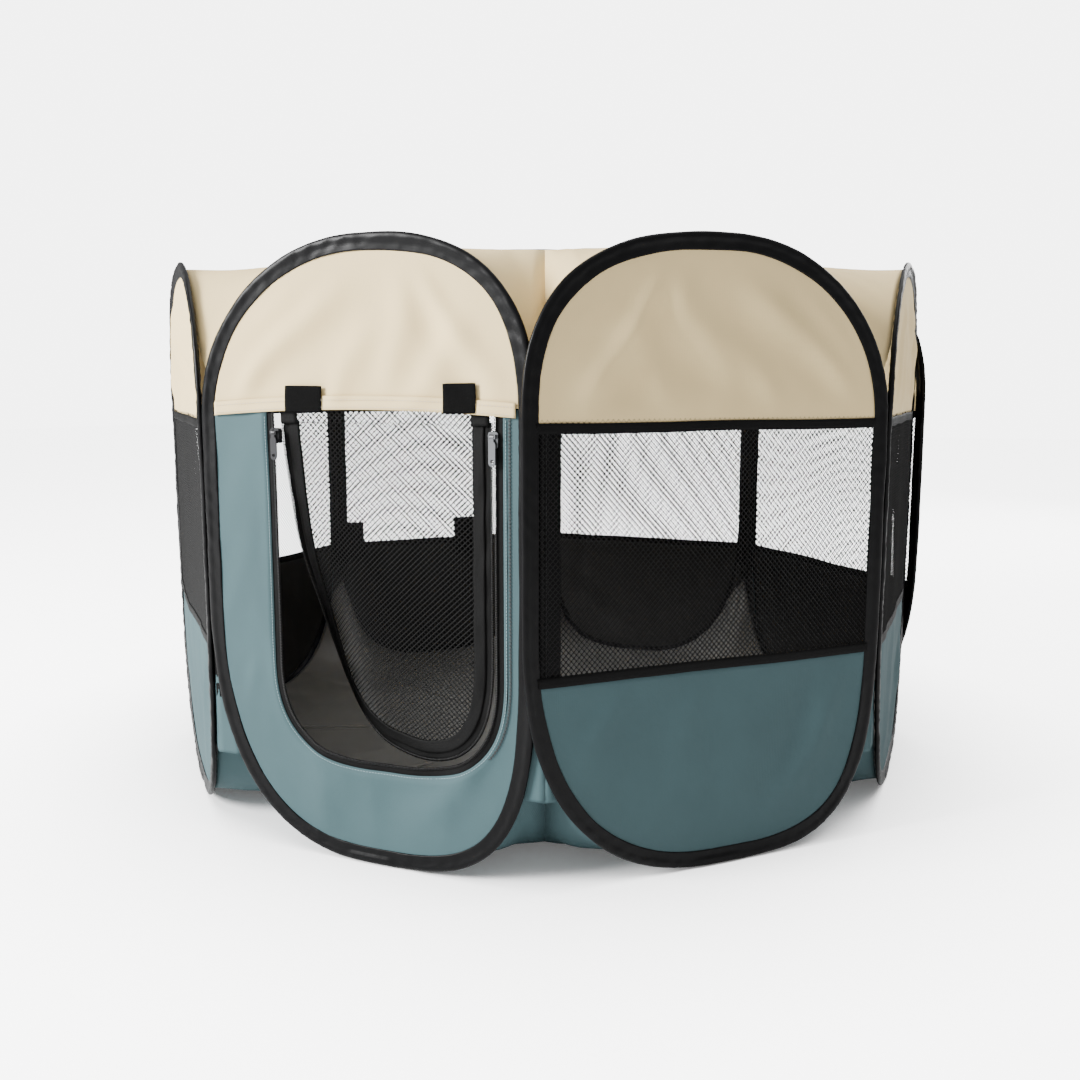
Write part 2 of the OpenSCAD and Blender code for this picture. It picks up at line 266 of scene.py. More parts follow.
class Batch:
    """Many small solids gathered into one mesh."""

    def __init__(self):
        self.vertices, self.faces = [], []

    def bar(self, a, b, side, up, taper=1.0):
        """A bar from a to b with half sizes side and up, both vectors."""
        a, b, side, up = (np.array(x, float) for x in (a, b, side, up))
        n = len(self.vertices)
        for p, f in ((a, taper), (b, taper)):
            for s, t in ((-1, -1), (1, -1), (1, 1), (-1, 1)):
                self.vertices.append(p + f * (s * side + t * up))
        for i in range(4):
            j = (i + 1) % 4
            self.faces.append((n + i, n + j, n + 4 + j, n + 4 + i))
        self.faces.append((n + 3, n + 2, n + 1, n))
        self.faces.append((n + 4, n + 5, n + 6, n + 7))

    def object(self, name, materials, smooth_faces=False):
        return mesh_object(name, self.vertices, self.faces, materials, smooth_faces)


# ---- materials ----


def material(name, color, rough, metal=0.0, spec=0.5):
    m = bpy.data.materials.new(name)
    m.use_nodes = True
    s = m.node_tree.nodes["Principled BSDF"]
    s.inputs["Base Color"].default_value = (*color, 1)
    s.inputs["Roughness"].default_value = rough
    s.inputs["Metallic"].default_value = metal
    s.inputs["Specular IOR Level"].default_value = spec
    return m


def node(m, kind, **values):
    n = m.node_tree.nodes.new(kind)
    for key, value in values.items():
        if key in n.inputs:
            n.inputs[key].default_value = value
        else:
            setattr(n, key, value)
    return n


def link(m, a, b):
    m.node_tree.links.new(a, b)


def add_weave(m, scale, strength, depth, blotch=0.0, color=None):
    """A plain weave as bump, with slow uneven colour."""
    place = node(m, "ShaderNodeTexCoord")
    s = m.node_tree.nodes["Principled BSDF"]
    warp = node(m, "ShaderNodeTexWave", wave_type="BANDS", bands_direction="X", Scale=scale,
                Distortion=0.3)
    weft = node(m, "ShaderNodeTexWave", wave_type="BANDS", bands_direction="Z", Scale=scale,
                Distortion=0.3)
    both = node(m, "ShaderNodeMath", operation="MULTIPLY")
    grain = node(m, "ShaderNodeTexNoise", Scale=900.0, Detail=2.0)
    mix = node(m, "ShaderNodeMath", operation="ADD")
    bump = node(m, "ShaderNodeBump", Strength=strength, Distance=depth)
    for t in (warp, weft, grain):
        link(m, place.outputs["Object"], t.inputs["Vector"])
    link(m, warp.outputs["Fac"], both.inputs[0])
    link(m, weft.outputs["Fac"], both.inputs[1])
    link(m, both.outputs[0], mix.inputs[0])
    link(m, grain.outputs["Fac"], mix.inputs[1])
    link(m, mix.outputs[0], bump.inputs["Height"])
    link(m, bump.outputs["Normal"], s.inputs["Normal"])
    if blotch:
        cloud = node(m, "ShaderNodeTexNoise", Scale=9.0, Detail=4.0, Roughness=0.55)
        ramp = node(m, "ShaderNodeMapRange")
        ramp.inputs["From Min"].default_value = 0.3
        ramp.inputs["From Max"].default_value = 0.7
        ramp.inputs["To Min"].default_value = 1 - blotch
        ramp.inputs["To Max"].default_value = 1 + blotch
        tint = node(m, "ShaderNodeVectorMath", operation="SCALE")
        tint.inputs[0].default_value = color
        link(m, place.outputs["Object"], cloud.inputs["Vector"])
        link(m, cloud.outputs["Fac"], ramp.inputs["Value"])
        link(m, ramp.outputs["Result"], tint.inputs["Scale"])
        link(m, tint.outputs["Vector"], s.inputs["Base Color"])
    return m


BEIGE = (0.70, 0.545, 0.285)
TEAL = (0.046, 0.084, 0.092)
BLACK = (0.0016, 0.0016, 0.0019)
GREY = (0.125, 0.125, 0.121)

upper_fabric = add_weave(material("upper_fabric", BEIGE, 0.8, spec=0.2), 260, 0.25, 0.0002,
                         0.03, BEIGE)
lower_fabric = add_weave(material("lower_fabric", TEAL, 0.75, spec=0.2), 260, 0.3, 0.0002,
                         0.06, TEAL)
coated_back = add_weave(material("coated_back", (0.0105, 0.0100, 0.0094), 0.5, spec=0.2), 260, 0.15,
                        0.0001)
floor_fabric = add_weave(material("floor_fabric", GREY, 0.36), 200, 0.2, 0.0002, 0.08, GREY)
satin = add_weave(material("satin_binding", BLACK, 0.40, spec=0.13), 420, 0.2, 0.0001)
tape_fabric = add_weave(material("tape_fabric", (0.0018, 0.0018, 0.0018), 0.6, spec=0.10), 500, 0.5,
                        0.0003)
net_thread = material("net_thread", (0.0025, 0.0025, 0.0025), 0.55, spec=0.15)
hook_fabric = add_weave(material("hook_fabric", (0.0022, 0.0022, 0.0022), 0.85, spec=0.08), 700, 0.9,
                        0.0006)
zip_plastic = material("zip_plastic", (0.003, 0.003, 0.003), 0.35, spec=0.25)
beige_thread = material("beige_thread", (0.62, 0.53, 0.40), 0.7)
teal_thread = material("teal_thread", (0.20, 0.29, 0.31), 0.7)
black_thread = material("black_thread", (0.02, 0.02, 0.021), 0.6)
slider_metal = material("slider_metal", (0.20, 0.205, 0.215), 0.30, metal=1.0)
slider_dark = material("slider_dark", (0.035, 0.035, 0.037), 0.32, metal=0.6)
wire_steel = material("wire_steel", (0.5, 0.5, 0.51), 0.35, metal=1.0)


# ---- panels ----


def edge_gap(k, u, z):
    """Distance to the hoop's inner edge, near enough, in metres."""
    half = half_widths(k)[0 if u < 0 else 1] - SLEEVE_W
    side = half - abs(u)
    i = 0 if u < 0 else 1
    if z > ARC_TOP_Z:
        rise, e, d = PEN_H - ARC_TOP_Z - SLEEVE_W, top_e(k)[i], z - ARC_TOP_Z
    elif z < ARC_LOW_Z:
        rise, e, d = ARC_LOW_Z - SLEEVE_W, LOW_E[i], ARC_LOW_Z - z
    else:
        return max(0.0, side)
    level = ((abs(u) / half) ** e + (d / rise) ** e) ** (1 / e)
    return max(0.0, (1 - level) * min(half, rise))


# drawn folds of the upper wall: u and z where each starts and ends, half width, height
UPPER_FOLDS = [(-0.125, 0.440, -0.030, 0.535, 0.012, 0.0030),
               (-0.150, 0.470, -0.070, 0.548, 0.010, 0.0022),
               (0.020, 0.455, 0.060, 0.555, 0.016, 0.0026),
               (0.075, 0.545, 0.140, 0.430, 0.011, 0.0034),
               (0.045, 0.430, 0.110, 0.500, 0.013, 0.0020),
               (-0.040, 0.428, 0.015, 0.500, 0.012, 0.0018)]
LOWER_FOLDS = [(0.150, 0.185, 0.060, 0.030, 0.013, 0.0030),
               (-0.120, 0.190, -0.150, 0.090, 0.010, 0.0022),
               (0.120, 0.190, 0.105, 0.080, 0.012, 0.0020),
               (-0.020, 0.180, -0.060, 0.050, 0.018, 0.0014)]
UPPER_DEPTH = 1.5
FOLD_LIMIT = 0.009


def fold_height(folds, u, z, lean):
    """Height of the nearest drawn folds at a point; lean moves and turns them a little."""
    total = 0.0
    for i, (u0, z0, u1, z1, w, h) in enumerate(folds):
        shift = lean * math.sin(2.3 * i + lean * 9) * 0.03
        u0, u1 = u0 + shift, u1 - shift * 0.6
        du, dz = u1 - u0, z1 - z0
        size = math.hypot(du, dz)
        along = ((u - u0) * du + (z - z0) * dz) / size / size
        across = ((u - u0) * dz - (z - z0) * du) / size + 0.004 * math.sin(along * 5 + i)
        fade = smooth((along + 0.25) / 0.45) * smooth((1.25 - along) / 0.45)
        w_here = w * (0.7 + 0.6 * along)
        total += h * fade * (math.exp(-(across / w_here) ** 2)
                             - 0.5 * math.exp(-((across - 2.1 * w_here) / w_here / 1.3) ** 2))
    return total


def belly(k, u, z):
    """How far a wall's cloth stands inwards of the panel's plane: slow billows and drawn folds."""
    seed = 13.7 * k
    edge = smooth(edge_gap(k, u, z) / 0.045)
    if edge == 0.0:
        return 0.0
    billow = 0.0030 * fbm(u * 7 + seed, z * 3.2, seed, 2)
    fine = 0.0009 * fbm(u * 26 + seed, z * 9 + 0.6 * math.sin(9 * u), seed + 4, 2)
    out = billow + fine - 0.0015
    if z > UPPER_Z - 0.02:
        mirror = -1 if k % 2 else 1
        fold = fold_height(UPPER_FOLDS, u * mirror, z, 0.4 + 0.23 * k)
        out -= UPPER_DEPTH * fold * smooth((z - UPPER_Z) / 0.03)
    if z < LOWER_Z + 0.02:
        out -= fold_height(LOWER_FOLDS, u, z, 0.3 + 0.31 * k) * smooth((LOWER_Z - z) / 0.03)
    return max(-FOLD_LIMIT, min(FOLD_LIMIT, out)) * edge


def wall(k, what, z0, z1, materials):
    """A panel's cloth between two heights, as a closed sheet."""
    rows, cols = 34, 56
    inset = SLEEVE_W - CLOTH_LAP
    top = min(z1, PEN_H - inset - 0.0008)
    low = max(z0, inset + 0.0008)
    vertices = []
    for j in range(rows):
        f = j / (rows - 1)
        if z1 >= PEN_H:
            f = math.sin(f * math.pi / 2)
        elif z0 <= 0:
            f = 1 - math.sin((1 - f) * math.pi / 2)
        z = low + (top - low) * f
        left, right = reach(k, inset, z, -1), reach(k, inset, z, 1)
        for i in range(cols):
            u = left + (right - left) * i / (cols - 1)
            vertices.append(world(k, u, belly(k, u, z), z))
    obj = mesh_object(name_of(k, what) + "_cloth", vertices, grid_faces(rows, cols), materials)
    solidify(obj, 0.0006, inner=len(materials) - 1)
    return obj


def sleeve_profile():
    """Half the thickness of the binding over its width, from the outer fold to the inner edge."""
    return [(-0.0076, 0.0009), (-0.0069, 0.0019), (-0.0056, 0.0026), (-0.0038, 0.0029),
            (-0.0020, 0.0027), (-0.0004, 0.0020), (0.0014, 0.0016), (0.0034, 0.0014),
            (0.0052, 0.0014), (0.0064, 0.0013), (0.0072, 0.0013), (0.0078, 0.0008)]


def sleeve(k, n=440):
    """The binding: a tube round the wire with a flat sewn edge, twisted and puckered."""
    line = resample(hoop_outline(k, SLEEVE_W / 2), n, closed=True)
    ahead = np.roll(line, -1, 0) - np.roll(line, 1, 0)
    ahead /= np.linalg.norm(ahead, axis=1)[:, None]
    inward = np.stack([-ahead[:, 1], ahead[:, 0]], 1)
    half = sleeve_profile()
    ring = [(m, h) for m, h in half] + [(m, -h) for m, h in reversed(half)]
    cols = len(ring)
    vertices = []
    step = 1.55 / n
    seed = 31.0 * k
    for i in range(n):
        s = i * step
        around = (math.cos(math.tau * i / n) * 0.6, math.sin(math.tau * i / n) * 0.6)
        twist = 0.20 * noise.noise(Vector((around[0] * 6, around[1] * 6, seed)))
        slim = 1 + 0.10 * noise.noise(Vector((around[0] * 9, around[1] * 9, seed + 7)))
        rest = noise.noise(Vector((around[0] * 4, around[1] * 4, seed + 3)))
        calm = 0.35 + 0.65 * smooth(rest + 0.45)
        for m, h in ring:
            lean = s + m * (1.2 if h > 0 else -0.9)
            crease = ridge(lean * 60, m * 30 + seed, 3.0 if h > 0 else 9.0)
            pucker = ridge(s * 170, seed, 5.0) * smooth((m + 0.002) / 0.006)
            fine = noise.noise(Vector((lean * 210, m * 150, seed)))
            out = abs(h) * (0.80 + calm * 0.42 * crease * crease + 0.10 * fine)
            out += 0.0006 * pucker * calm
            ferrule = smooth((0.030 - abs(line[i][0])) / 0.010) * smooth((0.03 - line[i][1]) / 0.01)
            if -0.0066 < m < 0.001:
                out = max(out, 0.0032 * ferrule)
            out = min(out, 0.0031 + 0.0001 * ferrule) * (1 if h > 0 else -1)
            mm = m * (slim + (1 - slim) * ferrule)
            twist *= 1 - ferrule
            dm = mm * math.cos(twist) - out * math.sin(twist)
            dy = mm * math.sin(twist) * 0.7 + out * math.cos(twist)
            p = line[i] + inward[i] * dm
            vertices.append(world(k, p[0], dy, max(p[1], 0.0002)))
    obj = mesh_object(name_of(k, "sleeve"), vertices, grid_faces(n, cols, True), [satin])
    mesh = obj.data
    last = [(n - 1) * cols + i for i in range(cols)]
    faces = [tuple(p.vertices) for p in mesh.polygons]
    for i in range(cols):
        faces.append((last[i], last[(i + 1) % cols], (i + 1) % cols, i))
    bpy.data.objects.remove(obj)
    return mesh_object(name_of(k, "sleeve") + "_cloth", vertices, faces, [satin])


def strip(name, lines, materials, thickness, closed=False):
    """A band whose rows are the given lines of points."""
    rows, cols = len(lines), len(lines[0])
    vertices = [p for line in lines for p in line]
    obj = mesh_object(name, vertices, grid_faces(rows, cols, closed), materials)
    solidify(obj, thickness)
    return obj


def tape(k, z, side, name):
    """A black tape over the edge of the netting, inside (1) or outside (-1) of the wall."""
    lines = []
    cols = 70
    for j in range(4):
        zz = z + TAPE_W * (j / 3 - 0.5)
        left, right = reach(k, SLEEVE_W - TAPE_LAP, zz, -1), reach(k, SLEEVE_W - TAPE_LAP, zz, 1)
        line = []
        for i in range(cols):
            u = left + (right - left) * i / (cols - 1)
            sag = 0.0012 * fbm(u * 9 + k * 3.1, 0.3, z * 40, 2)
            line.append(world(k, u, belly(k, u, zz) + side * 0.0009, zz + sag))
        lines.append(line)
    return strip(name, lines, [tape_fabric], 0.0008)


def join(objects, name):
    """One mesh from several, with their modifiers applied."""
    vertices, faces, indices, mats = [], [], [], []
    graph = bpy.context.evaluated_depsgraph_get()
    for o in objects:
        e = o.evaluated_get(graph)
        mesh = e.to_mesh()
        start = len(vertices)
        vertices += [tuple(o.matrix_world @ v.co) for v in mesh.vertices]
        for p in mesh.polygons:
            faces.append(tuple(start + v for v in p.vertices))
            m = o.data.materials[p.material_index]
            if m not in mats:
                mats.append(m)
            indices.append(mats.index(m))
        e.to_mesh_clear()
    for o in objects:
        bpy.data.objects.remove(o)
    return mesh_object(name, vertices, faces, mats, True, indices)


NET_PITCH_U = 0.0050
NET_PITCH_Z = 0.0054
THREAD = 0.00066
NET_TURNS = (0.0, 0.14, 0.5, 0.64)


def netting(name, inside, place, u0, u1, z0, z1, thread=THREAD, pitch=(NET_PITCH_U, NET_PITCH_Z)):
    """Warp-knit netting with six-sided holes: upright zigzag threads that meet in short knots.

    inside(u, z) says whether a point is in the cloth; place(u, z, out) puts it in the row frame.
    """
    pu, pz = pitch
    vertices, faces = [], []
    columns = int((u1 - u0) / pu * 2) + 2
    steps = int((z1 - z0) / pz * 4) + 2
    swing = pu * 0.25 - thread * 0.40
    for c in range(columns):
        base = u0 + c * pu / 2
        run = []
        for i in range(steps):
            phase = i % 4
            lean = (1, 1, -1, -1)[phase] * (1 if c % 2 else -1)
            z = z0 + pz * (i // 4 + NET_TURNS[phase])
            u = base + lean * swing
            if inside(u, z):
                run.append((u, z))
            else:
                thread_run(vertices, faces, run, place, thread)
                run = []
        thread_run(vertices, faces, run, place, thread)
    return mesh_object(name, vertices, faces, [net_thread], False)


def thread_run(vertices, faces, run, place, thread):
    """A thread with a three-sided section through the points of run."""
    if len(run) < 2:
        return
    n = len(vertices)
    for u, z in run:
        vertices.append(place(u - thread, z, -0.0001))
        vertices.append(place(u + thread, z, -0.0001))
        vertices.append(place(u, z, 0.0004))
    for i in range(len(run) - 1):
        a = n + 3 * i
        for p, q in ((0, 1), (1, 2), (2, 0)):
            faces.append((a + p, a + q, a + 3 + q, a + 3 + p))
    faces.append((n + 2, n + 1, n))
    end = n + 3 * (len(run) - 1)
    faces.append((end, end + 1, end + 2))


def window_net(k):
    edge = SLEEVE_W - CLOTH_LAP

    def inside(u, z):
        return reach(k, edge, z, -1) < u < reach(k, edge, z, 1)

    def place(u, z, out):
        return world(k, u, belly(k, u, z) - out, z)

    left, right = half_widths(k)
    return netting(f"net_{k}_mesh", inside, place, -left, right, LOWER_Z - 0.003, UPPER_Z + 0.003)


def stitches(batch, line, normal, pitch=0.0034, length=0.0023, size=0.00022, lift=0.0004):
    """A row of stitches along a line of points, raised along normal(i)."""
    total = np.linalg.norm(np.diff(np.array(line), axis=0), axis=1).sum()
    fine = resample(line, max(2, int(total / pitch)))
    for i in range(len(fine) - 1):
        a, b = fine[i], fine[i + 1]
        d = (b - a) / max(np.linalg.norm(b - a), 1e-9)
        up = np.array(normal(i / len(fine)))
        side = np.cross(d, up)
        start = a + up * lift
        batch.bar(start, start + d * length, side * size, up * size * 0.7)


def ride(obj, k):
    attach(obj, body_of_panel(k))
    return obj


def outward_of(k):
    a = k * TURN - math.pi / 2
    return (math.cos(a), math.sin(a), 0)


for k in range(PANELS):
    frame["nodes"][name_of(k, "hoop")].data.materials.clear()
    frame["nodes"][name_of(k, "hoop")].data.materials.append(wire_steel)
    binding = ride(sleeve(k), k)
    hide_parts(name_of(k, "sleeve"))
    edge = HEM_Z + 0.002 if k == 0 else UPPER_Z - 0.0035
    upper = ride(wall(k, "upper_wall", edge, PEN_H, [upper_fabric, upper_fabric]), k)
    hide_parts(name_of(k, "upper_wall"))
    if k == 0:
        continue
    lower = ride(wall(k, "lower_wall", 0, LOWER_Z, [lower_fabric, coated_back]), k)
    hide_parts(f"lower_wall_{k}")
    net = ride(window_net(k), k)
    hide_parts(f"net_{k}")
    bands = [tape(k, z, side, "band") for z in (UPPER_Z - TAPE_W / 2, LOWER_Z) for side in (-1, 1)]
    tapes = ride(join(bands, f"tapes_{k}_bands"), k)
    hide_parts(f"tapes_{k}")

# ---- door ----


def hem_z(u):
    """Height of the hem's lower edge: highest in the middle of the panel."""
    return HEM_Z - HEM_SAG * (u / HEM_SPAN) ** 2


OPENING = door_outline(DOOR_X, DOOR_HALF_W, DOOR_TOP_Z, DOOR_ARC_Z, DOOR_LOW_Z)


def hoop_side(k, inset, top):
    """The hoop's inside from height top on the left, round the bottom, to the same on the right."""
    left = [(reach(k, inset, top + (ARC_LOW_Z - top) * i / 8, -1),
             top + (ARC_LOW_Z - top) * i / 8) for i in range(8)]
    right = [(reach(k, inset, z, 1), z) for _, z in reversed(left)]
    low = [p for p in hoop_outline(k, inset) if p[1] < ARC_LOW_Z]
    return left + sorted(low, key=lambda p: p[0]) + right


def grown(line, by):
    """A 2D line moved to its right by a distance."""
    p = np.array(line, float)
    d = np.gradient(p, axis=0)
    d /= np.linalg.norm(d, axis=1)[:, None]
    return p + np.stack([-d[:, 1], d[:, 0]], 1) * -by


def surround_push(u, z):
    """Drawn folds of the door's surround: long at the lower left, short ones under the opening."""
    low_left = smooth((DOOR_X - 0.02 - u) / 0.06) * smooth((0.27 - z) / 0.08)
    low = smooth((0.10 - z) / 0.04)
    left = smooth((-0.095 - u) / 0.02) * smooth((z - 0.2) / 0.05)
    run = (u * 0.8 + z * 0.6)
    out = -0.0016 * low_left * ridge(run * 17, (z - u) * 3.0, 1.5)
    out += -0.0015 * low * ridge(u * 22, z * 5, 8.2)
    out += 0.0020 * left * noise.noise(Vector(((u - 0.5 * z) * 30, z * 6, 4.4)))
    return out


def surround():
    """Cloth between the hoop and the door opening, its inner edge turned over the zip tape."""
    n, rows = 190, 16
    outer = resample(hoop_side(0, SLEEVE_W - CLOTH_LAP, DOOR_TOP_Z), n)
    inner = resample(grown(OPENING, 0.0072), n)
    lines = []
    for j in range(rows):
        f = j / (rows - 1)
        f = f ** 0.8
        line = []
        for a, b in zip(inner, outer):
            u, z = a + (b - a) * f
            inward = belly(0, u, z) + surround_push(u, z) * min(1, 4 * f) * min(1, 4 * (1 - f))
            inward -= 0.0010 * (1 - smooth(j / 2.5))
            line.append(world(0, u, inward, z))
        lines.append(line)
    return strip("door_surround_cloth", lines, [lower_fabric], 0.0007)


def band_on(name, line, widths, place, materials, thickness, rows=5, waver=0.0):
    """A band along a 2D line, from widths[0] to widths[1] to its right."""
    lines = []
    for j in range(rows):
        w = widths[0] + (widths[1] - widths[0]) * j / (rows - 1)
        side = grown(line, w)
        lines.append([place(p[0], p[1], waver * noise.noise(Vector((p[0] * 40, p[1] * 40, w * 90))))
                      for p in side])
    return strip(name, lines, materials, thickness)


def coil(batch, line, place, pitch=0.0015, reach_m=0.0026):
    """Zip teeth: short loops of the coil across the edge of the tape."""
    total = np.linalg.norm(np.diff(np.array(line), axis=0), axis=1).sum()
    fine = resample(line, int(total / pitch))
    side = grown(fine, 1.0) - fine
    for p, q in zip(fine, side):
        a = np.array(place(*(p - q * reach_m * 0.35), 0.0))
        b = np.array(place(*(p + q * reach_m * 0.65), 0.0))
        mid = np.array(place(*p, 0.001)) - np.array(place(*p, 0.0))
        along = np.cross(b - a, mid)
        along /= max(np.linalg.norm(along), 1e-12)
        batch.bar(a, b, along * 0.00042, mid * 0.8)


def on_door(u, z, out=0.0):
    return world(0, u, belly(0, u, z) - out, z)


def hem():
    """The beige cloth's hem over the opening."""
    rows, cols = 6, 110
    left = reach(0, SLEEVE_W + 0.0012, HEM_Z, -1)
    right = reach(0, SLEEVE_W + 0.0012, HEM_Z, 1)
    lines = []
    for j in range(rows):
        f = j / (rows - 1)
        line = []
        for i in range(cols):
            u = left + (right - left) * i / (cols - 1)
            z = hem_z(u) + HEM_H * f
            drape = 0.0005 * fbm(u * 30, f, 2.2, 2)
            line.append(world(0, u, belly(0, u, z) - HEM_OUT - drape, z))
        lines.append(line)
    return strip("door_hem", lines, [upper_fabric], 0.0008)


door_cloth = ride(surround(), 0)
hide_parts("door_surround")

door_hem = ride(hem(), 0)

zip_top = HEM_Z - 0.002
tape_line = resample(door_outline(DOOR_X, DOOR_HALF_W, zip_top, DOOR_ARC_Z, DOOR_LOW_Z), 260)
zip_band = band_on("zip_band", tape_line, (0.0, 0.0105),
                   lambda u, z, w: on_door(u, z, 0.0002 + 0.3 * w), [tape_fabric], 0.0007,
                   waver=0.0008)
teeth = Batch()
coil(teeth, tape_line, lambda u, z, w: on_door(u, z, 0.0010 + w))
zip_teeth = teeth.object("zip_teeth", [zip_plastic])
door_zip = ride(join([zip_band, zip_teeth], "door_zip"), 0)
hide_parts("door_zip_tape")

seams = Batch()
for above in (0.0024, 0.0088):
    left = reach(0, SLEEVE_W, HEM_Z, -1) + 0.003
    right = reach(0, SLEEVE_W, HEM_Z, 1) - 0.003
    row = []
    for u in np.linspace(left, right, 60):
        z = hem_z(u) + above
        row.append(world(0, u, belly(0, u, z) - TRIM_OUT, z))
    stitches(seams, row, lambda t: outward_of(0), pitch=0.0036, length=0.0022)
hem_seam = ride(seams.object("door_hem_stitches", [beige_thread]), 0)

seams = Batch()
edge_line = resample(grown(OPENING, 0.0095), 320)
keep = [p for p in edge_line if p[1] < UPPER_Z + 0.004]
row = [on_door(p[0], p[1], 0.0009 - surround_push(*p) * 0.35) for p in keep]
stitches(seams, row, lambda t: outward_of(0), pitch=0.0030, length=0.0020, lift=0.0003)
edge_seam = ride(seams.object("door_edge_stitches", [teal_thread]), 0)

# dark zigzag seam to the right of the zip
seams = Batch()
zigzag = []
right_edge = [p for p in keep if p[0] > DOOR_X + DOOR_HALF_W * 0.9]
for i, p in enumerate(resample(right_edge, 190)):
    zigzag.append(on_door(p[0] + 0.0034 + 0.0011 * (1 if i % 2 else -1), p[1], 0.0012))
for a, b in zip(zigzag, zigzag[1:]):
    seams.bar(a, b, np.array((0, 0, 0.0004)), np.array(outward_of(0)) * 0.0003)
zigzag_seam = ride(seams.object("door_zigzag_stitches", [black_thread]), 0)


def patch(u0, u1, z0, z1, name, tilt=0.0):
    """A hook-and-loop patch, sewn round its edge."""
    cols, rows = 26, 18
    lines = []
    for j in range(rows):
        line = []
        for i in range(cols):
            a, b = i / (cols - 1), j / (rows - 1)
            u = u0 + (u1 - u0) * a + tilt * (b - 0.5) * (z1 - z0)
            z = z0 + (z1 - z0) * b - tilt * (a - 0.5) * (u1 - u0)
            rough = 0.00022 * noise.noise(Vector((u * 900, z * 900, 0)))
            rim = min(a, 1 - a, b, 1 - b)
            out = TRIM_OUT + 0.0009 * smooth(rim / 0.07) + rough
            line.append(world(0, u, belly(0, u, z) - out, z))
        lines.append(line)
    return strip(name, lines, [hook_fabric], 0.0012)


PATCH_LOW, PATCH_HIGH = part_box("door_hook_patches")
patches = [patch(PATCH_LOW.x, PATCH_LOW.x + 0.038, PATCH_LOW.z, PATCH_LOW.z + 0.0235, "a", 0.01),
           patch(PATCH_HIGH.x - 0.031, PATCH_HIGH.x, PATCH_LOW.z, PATCH_LOW.z + 0.0255, "b", -0.02)]
door_patches = ride(join(patches, "door_patches"), 0)
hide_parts("door_hook_patches")

# ---- door flap ----


def flap_place(u, z, out=0.0):
    """The flap hangs from its top and right edge: its lower left corner is pushed well inside."""
    down = -z
    f = max(0.0, down / FLAP_L)
    side = min(1.0, max(0.0, (1 - u / FLAP_HALF_W) / 2))
    lean = 0.102 * side ** 2.5 * f ** 1.5 - down * math.tan(FLAP_REST) + 0.0012
    lean += 0.0022 * math.sin(f * 11 + 0.8) * smooth((side - 0.7) / 0.3) * smooth(3 * f)
    lean += 0.0014 * fbm(u * 14, z * 6, 3.0, 2) * smooth(4 * f)
    draw = 0.006 * side ** 2 * f ** 1.5
    return flap_point(u + draw, down - 0.010 * side * f * f, lean - out)


def in_flap(u, z):
    half, low = FLAP_HALF_W - FLAP_NET_INSET, -FLAP_L + FLAP_NET_INSET
    if z > FLAP_TOP or abs(u) >= half:
        return False
    if z > -FLAP_ARC:
        return True
    return (abs(u) / half) ** DOOR_E + ((-FLAP_ARC - z) / (-FLAP_ARC - low)) ** DOOR_E < 1


flap_net = netting("flap_mesh", in_flap, flap_place, -FLAP_HALF_W, FLAP_HALF_W, -FLAP_L, FLAP_TOP,
                   **FLAP_NET)
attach(flap_net, "door_flap")
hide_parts("door_flap_net")

flap_line = resample(door_outline(0, FLAP_HALF_W, FLAP_TOP, -FLAP_ARC, -FLAP_L), 230)
outer_tape = band_on("flap_tape", flap_line, (-FLAP_ZIP_W, 0.0), flap_place, [tape_fabric], 0.0008,
                     waver=0.0012)
inner_band = band_on("flap_band", flap_line, (-FLAP_EDGE_W, -FLAP_ZIP_W + 0.0012),
                     lambda u, z, w: flap_place(u, z, 0.0004 + w), [tape_fabric], 0.0022, rows=7,
                     waver=0.0014)
teeth = Batch()
coil(teeth, flap_line, lambda u, z, w: flap_place(u, z, 0.0006 + w))
flap_teeth = teeth.object("flap_teeth", [zip_plastic])
binding = join([outer_tape, inner_band, flap_teeth], "flap_binding")
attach(binding, "door_flap")
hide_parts("door_flap_binding")

def above_fold(u, z, out=0.0):
    """A point of the flap's cloth where it runs on above its fold line, sewn in under the hem."""
    return world(0, DOOR_X + u, belly(0, DOOR_X + u, z) + 0.0020 - out, z)


FOLD_TOP_Z, FOLD_LOW_Z = DOOR_TOP_Z + 0.002, FLAP_POS.z + 0.0035
HEAD_HALF = FLAP_HALF_W - FLAP_NET_INSET
sewn_net = netting("flap_head_mesh",
                   lambda u, z: abs(u) < HEAD_HALF and FOLD_LOW_Z < z < FOLD_TOP_Z,
                   above_fold, -FLAP_HALF_W, FLAP_HALF_W, FOLD_LOW_Z, FOLD_TOP_Z, **FLAP_NET)
ends = []
for side in (-1, 1):
    heights = [FOLD_LOW_Z + (FOLD_TOP_Z - FOLD_LOW_Z) * j / 6 for j in range(7)]
    rows = [[above_fold(side * (FLAP_HALF_W - FLAP_EDGE_W * i / 4), z) for i in range(5)]
            for z in heights]
    ends.append(strip("end", rows, [tape_fabric], 0.0012))
flap_head = ride(join([sewn_net] + ends, "flap_head"), 0)

for n in ("door_slider_left", "door_slider_right", "door_pull_left", "door_pull_right"):
    o = frame["nodes"][n]
    o.data.materials.clear()
    o.data.materials.append(slider_dark if n.endswith("left") else slider_metal)

# ---- tabs inside the back-left panel ----


TAB_PANEL = 5
TAB_HALF_W = 0.0195
TAB_DROP, TAB_RISE = 0.02, 0.038


